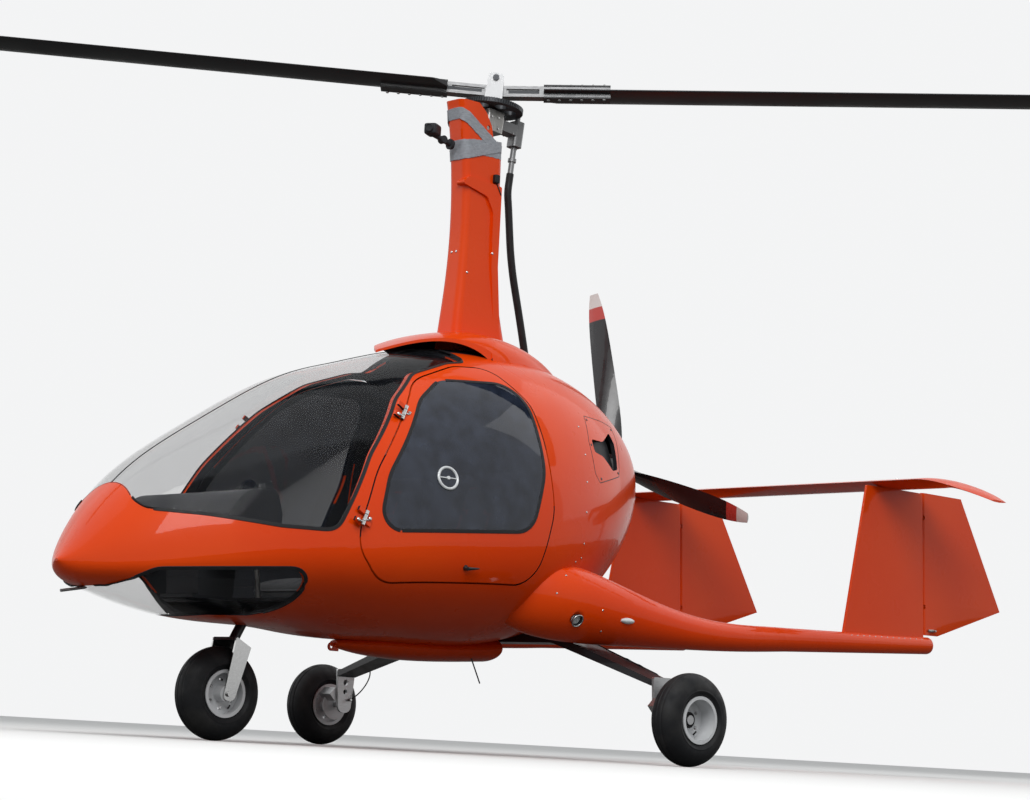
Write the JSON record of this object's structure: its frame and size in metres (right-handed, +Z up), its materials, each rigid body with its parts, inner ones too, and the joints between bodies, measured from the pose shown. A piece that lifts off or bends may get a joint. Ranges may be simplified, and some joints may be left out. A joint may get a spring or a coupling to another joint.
{
  "type": "enclosed two-seat gyrocopter",
  "caption": "Enclosed side-by-side gyrocopter with a free two-blade rotor, pusher propeller, twin tail booms, opening doors and steerable tricycle gear, parked.",
  "frame": {"origin": "on the ground under the rotor's teeter bolt", "axes": "+X to the aircraft's left, +Y aft, +Z up; the nose is at -Y"},
  "size_m": [5.8443, 6.5731, 3.1558],
  "materials": {
    "body_paint": "gloss orange",
    "window_tint": "smoke-tinted clear",
    "lamp_lens": "clear lens",
    "cabin_trim": "dark grained",
    "seat_cover": "dark woven",
    "rotor_black": "satin black",
    "prop_black": "black composite",
    "bare_alloy": "brushed",
    "head_steel": "machined",
    "ring_iron": "dark",
    "tyre_rubber": "black",
    "wheel_paint": "light grey",
    "spring_black": "black composite",
    "sleeve_rubber": "black sleeve",
    "engine_grey": "grey"
  },
  "bodies": {
    "airframe": {"fuselage_shell": "body_paint", "windscreen": "window_tint", "chin_window": "window_tint", "engine_cowl": "body_paint", "firewall": "bare_alloy", "belly_fairing": "body_paint", "tail_boom_left": "body_paint", "tail_boom_right": "body_paint", "fin_left": "body_paint", "fin_right": "body_paint", "tailplane": "body_paint", "mast": "body_paint", "mast_scoop": "body_paint", "rotor_head": "head_steel", "head_pivot": "head_steel", "drive_gearbox": "bare_alloy", "drive_shaft": "sleeve_rubber", "gear_bow": "spring_black", "wheel_bracket_left": "bare_alloy", "wheel_bracket_right": "bare_alloy", "nose_leg": "spring_black", "engine_block": "engine_grey", "cabin_floor": "cabin_trim", "seat_cushions": "seat_cover", "seat_backs": "seat_cover", "instrument_panel": "cabin_trim", "control_sticks": "head_steel", "pitot_tube": "bare_alloy", "belly_antenna": "spring_black", "boom_lamps": "lamp_lens", "nav_lights": "lamp_lens"},
    "rotor_shaft": {"rotor_tower": "wheel_paint", "teeter_bolt": "ring_iron", "ring_gear": "ring_iron"},
    "seesaw": {"hub_bar": "bare_alloy", "blade_aft": "rotor_black", "blade_fore": "rotor_black", "blade_grips": "bare_alloy"},
    "propeller": {"propeller_hub": "prop_black", "propeller_blades": "prop_black"},
    "door_l": {"door_left": "body_paint", "door_glass_left": "window_tint"},
    "door_r": {"door_right": "body_paint", "door_glass_right": "window_tint"},
    "rudder_l": {"rudder_left": "body_paint"},
    "rudder_r": {"rudder_right": "body_paint"},
    "steering": {"nose_fork": "bare_alloy", "fork_crown": "spring_black"},
    "nose_wheel": {"nose_tyre": "tyre_rubber", "nose_rim": "wheel_paint"},
    "wheel_l": {"main_tyre_left": "tyre_rubber", "main_rim_left": "wheel_paint"},
    "wheel_r": {"main_tyre_right": "tyre_rubber", "main_rim_right": "wheel_paint"}
  },
  "joints": [
    {"name": "rotor_spin", "type": "hinge", "parent": "airframe", "child": "rotor_shaft", "pos_m": [0, 0, 3.01], "axis": [0, 0.1045, 0.9945], "continuous": true},
    {"name": "rotor_teeter", "type": "hinge", "parent": "rotor_shaft", "child": "seesaw", "pos_m": [0, 0, 3.01], "axis": [0.7413, -0.6675, 0.0702], "range_deg": [-12.4, 3.5]},
    {"name": "propeller_spin", "type": "hinge", "parent": "airframe", "child": "propeller", "pos_m": [0, 0.872, 1.335], "axis": [0, 1, 0], "continuous": true},
    {"name": "door_left_swing", "type": "hinge", "parent": "airframe", "child": "door_l", "pos_m": [0.6616, -1.1178, 0.8999], "axis": [0.2169, -0.4825, -0.8486], "range_deg": [0, 70]},
    {"name": "door_right_swing", "type": "hinge", "parent": "airframe", "child": "door_r", "pos_m": [-0.6616, -1.1178, 0.8999], "axis": [0.2169, 0.4825, 0.8486], "range_deg": [0, 70]},
    {"name": "rudder_left_swing", "type": "hinge", "parent": "airframe", "child": "rudder_l", "pos_m": [0.8, 2.166, 0.64], "axis": [0, -0.065, 0.9979], "range_deg": [-25, 25]},
    {"name": "rudder_right_swing", "type": "hinge", "parent": "airframe", "child": "rudder_r", "pos_m": [-0.8, 2.166, 0.64], "axis": [0, -0.065, 0.9979], "range_deg": [-25, 25]},
    {"name": "nose_steer", "type": "hinge", "parent": "airframe", "child": "steering", "pos_m": [0, -1.232, 0.414], "axis": [0, 0.4695, 0.8829], "range_deg": [-25, 25]},
    {"name": "nose_wheel_spin", "type": "hinge", "parent": "steering", "child": "nose_wheel", "pos_m": [0, -1.298, 0.19], "axis": [1, 0, 0], "continuous": true},
    {"name": "main_wheel_left_spin", "type": "hinge", "parent": "airframe", "child": "wheel_l", "pos_m": [1.22, 0.181, 0.19], "axis": [1, 0, 0], "continuous": true},
    {"name": "main_wheel_right_spin", "type": "hinge", "parent": "airframe", "child": "wheel_r", "pos_m": [-1.22, 0.181, 0.19], "axis": [1, 0, 0], "continuous": true}
  ],
  "couplings": [
    {"joint": "rudder_right_swing", "follows": "rudder_left_swing", "ratio": 1},
    {"joint": "nose_steer", "follows": "rudder_left_swing", "ratio": -1}
  ]
}
